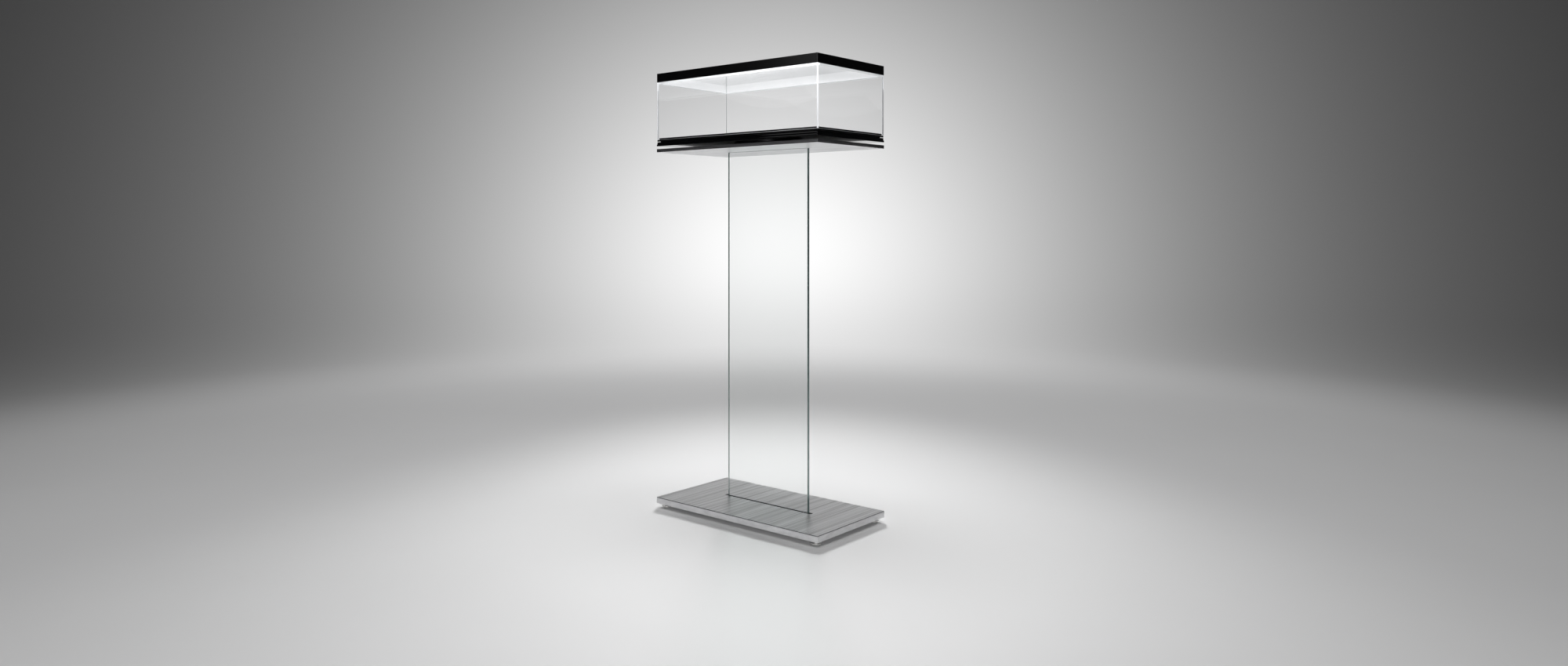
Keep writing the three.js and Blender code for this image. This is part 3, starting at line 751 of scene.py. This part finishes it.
def lying_lathe(profile, centre, around=64):
    """A turned surface whose axis lies along Y: rows of (radius, distance along +Y) from centre."""
    upright = lathe(profile, (0, 0, 0), around)
    return upright[..., [0, 2, 1]] * (1, 1, -1) + np.asarray(centre, float)


lacquer = black_lacquer()
hole_radius = 0.0043
for side, across, outward in (("front", 1, -1), ("back", 1, 1), ("left", 0, -1), ("right", 0, 1)):
    low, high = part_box(f"lid_rail_{side}")
    rail = skin(f"{side}_rail", rail_rows(low, high, across, outward), [lacquer])
    if side == "back":
        holes = []
        for fitting in ("power_button", "charging_inlet"):
            fitting_low, fitting_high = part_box(fitting)
            middle_x = (fitting_low.x + fitting_high.x) / 2
            middle_z = (fitting_low.z + fitting_high.z) / 2
            holes.append((middle_x, high.y, middle_z))
        bore(rail, holes, hole_radius)
        rail.data.set_sharp_from_angle(angle=np.radians(40))
    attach(rail, "cover")
    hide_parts(f"lid_rail_{side}")
sheet_corner, sheet_edge = 0.0015, 0.0006
cast_piece("lid_skin", "lid_top_skin", "cover", 2, sheet_corner, sheet_edge, [lacquer])

# ---- Light ------------------------------------------------------------------------------------
# Four LED strips stand against the rails and shine into the edge of an opal sheet under a white
# reflector, so the sheet is brightest just inside its rim and falls off towards its middle.


def light_sheet():
    """Opal acrylic that gives out light: a middle tone, plus a peak that dies away from the rim inwards.

    The distance to the rim is the smaller of the distances to the long and the short sides. The
    middle tone falls off towards both ends, and more towards the right-hand one.
    """
    made, shader, place = finish_of("light_sheet", base_color=(0.85, 0.85, 0.86), roughness=0.35)
    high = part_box("light_diffuser")[1]
    along, across = (place.node("ShaderNodeSeparateXYZ", {}, {0: place}, output=axis) for axis in (0, 1))
    off_rim = along.math("MINIMUM", high.x - abs(along), high.y - abs(across))
    fade_width, rim_width = 0.045, 0.010
    fall = -off_rim / fade_width
    fade = fall.math("EXPONENT", fall)
    rim = off_rim.node("ShaderNodeClamp", {}, {"Value": off_rim / rim_width})
    chip = noise(place, (32, 32, 32), 1)
    level = (0.70 - along * (0.4 + 3.6 * along) + fade * (0.74 + 0.10 * chip)) * (0.55 + 0.45 * rim)
    drive(shader, emission_color=blend(level, (0.0, 0.0, 0.0), (0.97, 0.985, 1.0)))
    shader.inputs["Emission Strength"].default_value = 1.0
    return made


opal = light_sheet()
cast_piece("opal_sheet", "light_diffuser", "cover", 2, sheet_corner, sheet_edge, [opal])
reflector_white = white_nylon("white_reflector", (0.86, 0.86, 0.87), (0.94, 0.94, 0.95))
wear("light_reflector", material=reflector_white)


def circuit_board():
    """Green solder mask with paler copper tracks under it in blocks."""
    made, shader, place = finish_of("circuit_board", specular_ior_level=0.5, coat_weight=0.2)
    cells = place.node("ShaderNodeTexBrick", {}, {"Vector": place, "Scale": 260.0}, output=1)
    weave = noise(place, (900, 900, 900), 2)
    drive(
        shader,
        base_color=blend(cells * 0.5 + weave * 0.3, (0.01, 0.07, 0.03), (0.05, 0.22, 0.10)),
        roughness=0.35 + weave * 0.2,
    )
    return made


board = circuit_board()
wear("led_strip_front", "led_strip_back", "led_strip_left", "led_strip_right", material=board)
wear("driver_board", material=board)


def battery_wrap():
    """Shrink film over cells: dark grey, with soft creases along the pack."""
    made, shader, place = finish_of("battery_wrap", coat_weight=0.5, coat_roughness=0.15)
    crease = noise(place, (30, 260, 260), 3)
    drive(
        shader,
        base_color=blend(crease, (0.05, 0.055, 0.065), (0.10, 0.105, 0.12)),
        roughness=0.3 + crease * 0.2,
        normal=relief(crease, 0.0003),
    )
    return made


wear("battery_pack", material=battery_wrap())

# ---- Button and inlet -------------------------------------------------------------------------
# On the back rail: a sprung push button with a dished cap, and a round socket for the charger.


def moulded_grey(name, low_tone, high_tone):
    """Moulded plastic with a spark-eroded grain."""
    made, shader, place = finish_of(name, specular_ior_level=0.5)
    grain = noise(place, (2200, 2200, 2200), 2)
    drive(
        shader,
        base_color=blend(grain, low_tone, high_tone),
        roughness=0.32 + grain * 0.2,
        normal=relief(grain, 0.00003),
    )
    return made


low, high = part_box("power_button")
centre = ((low.x + high.x) / 2, low.y, (low.z + high.z) / 2)
length, cap, flange = high.y - low.y, 0.004, (high.x - low.x) / 2
flange_height, cap_round, dish_depth, tip = 0.0012, 0.0006, 0.0004, 0.0002
cap_start = [[cap, flange_height], [cap, flange_height + 0.0002]]
stem = [[tip, 0], [flange, 0], [flange, flange_height], *cap_start]
crown = corner_arc((cap - cap_round, length - cap_round), cap_round, 0, 90)
dish_radius = np.array([cap * 0.7, cap * 0.4, tip])
dish = np.column_stack([dish_radius, length - dish_depth * np.array([0.25, 0.75, 1.0])])
button_grey = moulded_grey("grey_button", (0.26, 0.26, 0.27), (0.34, 0.34, 0.35))
button = skin("push_button", lying_lathe([*stem, *crown, *dish], centre), [button_grey])
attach(button, "button")
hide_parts("power_button")

low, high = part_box("charging_inlet")
centre = ((low.x + high.x) / 2, low.y, (low.z + high.z) / 2)
length, body_radius, throat, plug_bore = high.y - low.y, (high.x - low.x) / 2, 0.004, 0.0028
body_height, floor_height, mouth_round, bevel = 0.0027, 0.002, 0.0004, 0.0003
mouth = corner_arc((throat - mouth_round, length - mouth_round), mouth_round, 0, 90, 4)
outside = [[tip, 0], [body_radius, 0], [body_radius, body_height], [throat, body_height], *mouth]
inside = [
    [plug_bore + bevel, length], [plug_bore, length - bevel], [plug_bore, floor_height], [tip, floor_height]
]
socket_black = moulded_grey("black_socket", (0.012, 0.012, 0.013), (0.03, 0.03, 0.031))
inlet = skin("charger_socket", lying_lathe([*outside, *inside], centre), [socket_black])
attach(inlet, "cover")
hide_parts("charging_inlet")

# ---- Studio -----------------------------------------------------------------------------------
# A pale floor that sweeps up into a round grey wall. The wall glows softly behind the stand and
# behind the viewer. A soft lamp hangs overhead, one at the back throws the base's shadow forwards,
# and two weak ones in front and on the left light the upright faces.

view_turn = np.radians(39.67)
ahead = np.array([-np.sin(view_turn), np.cos(view_turn), 0.0])
up = np.array([0.0, 0.0, 1.0])
room_radius, sweep_radius, wall_height = 7.0, 2.2, 6.0


def studio_paper():
    """Pale grey on the floor, darker beyond it, with two round glows that fade out from their middles.

    A glow is exp(-(distance / fade_reach) ** sharpness), with the distance in metres from its middle.
    """
    made, shader, place = finish_of("studio_paper", specular_ior_level=0.15, roughness=0.7)
    mottle = noise(place, (1.2, 1.2, 1.2), 3)
    away = place.node("ShaderNodeVectorMath", {"operation": "LENGTH"}, {0: place}, output="Value")
    smooth = {"interpolation_type": "SMOOTHSTEP"}
    lit, beyond = (
        away.node("ShaderNodeMapRange", smooth, {"Value": away, "From Min": start, "From Max": stop})
        for start, stop in ((1.2, 4.4), (3.4, 6.0))
    )
    pale = blend(mottle, (0.73, 0.73, 0.733), (0.77, 0.77, 0.773))
    fade_reach, sharpness = 3.03, 1.5
    glows = (0.97 * room_radius * ahead + 0.5 * up, 1.06), (-room_radius * ahead + 0.9 * up, 0.60)
    level = 0.0
    for middle, strength in glows:
        reach = {0: place, 1: tuple(middle)}
        distance = place.node("ShaderNodeVectorMath", {"operation": "DISTANCE"}, reach, output="Value")
        fall = -((distance / fade_reach) ** sharpness)
        level = level + strength * fall.math("EXPONENT", fall)
    level = level * lit
    glow = level.node("ShaderNodeCombineXYZ", {}, {0: level, 1: level, 2: level})
    drive(shader, base_color=blend(beyond, pale, (0.07, 0.07, 0.071)), emission_color=glow)
    shader.inputs["Emission Strength"].default_value = 1.0
    return made


sweep = corner_arc((room_radius - sweep_radius, sweep_radius), sweep_radius, -90, 0, 24)
profile = [[0.01, 0], [0.5, 0], [1.5, 0], [3.0, 0], *sweep, [room_radius, wall_height]]
floor = skin("studio_floor", lathe(profile, (0, 0, 0), 96), [studio_paper()])


def lamp(name, place, target, watts, size, **settings):
    """A round soft lamp at a point, aimed at another, that the eye doesn't see."""
    data = bpy.data.lights.new(name, "AREA")
    data.energy, data.shape, data.size = watts, "DISK", size
    for key, value in settings.items():
        setattr(data, key, value)
    made = bpy.data.objects.new(name, data)
    made.location = place
    aim = np.asarray(target, float) - np.asarray(place, float)
    made.rotation_euler = Vector(aim).to_track_quat("-Z", "Y").to_euler()
    made.visible_camera = False
    made.visible_transmission = False
    bpy.context.scene.collection.objects.link(made)
    return made


lamp("overhead_softbox", 0.4 * ahead + 5.6 * up, -0.4 * ahead, 108, 2.6, spread=np.radians(140))
back = lamp("back_softbox", 4.4 * ahead + 2.3 * up, -1.3 * ahead, 15, 0.8, spread=np.radians(40))
lamp("front_softbox", -4.2 * ahead + 1.1 * up, 0.2 * up, 2.8, 1.0, spread=np.radians(40))
back.visible_glossy = False
left_side = np.array([-0.42, -0.91, 0.0])
lamp("left_softbox", 3.3 * left_side + 2.2 * up, 1.3 * up, 4, 1.2)

world = bpy.data.worlds.new("studio_world")
world.use_nodes = True
world.node_tree.nodes["Background"].inputs["Color"].default_value = (0.96, 0.97, 1.0, 1)
world.node_tree.nodes["Background"].inputs["Strength"].default_value = 0.06
bpy.context.scene.world = world
bpy.context.scene.view_settings.view_transform = "Standard"

camera_data = bpy.data.cameras.new("camera")
camera_data.lens = 23.6
camera_data.sensor_width = 36
camera_data.shift_y = -0.0698
camera = bpy.data.objects.new("camera", camera_data)
camera.location = (2.247, -2.623, 0.976)
camera.rotation_euler = (np.pi / 2, 0, view_turn)
bpy.context.scene.collection.objects.link(camera)
bpy.context.scene.camera = camera
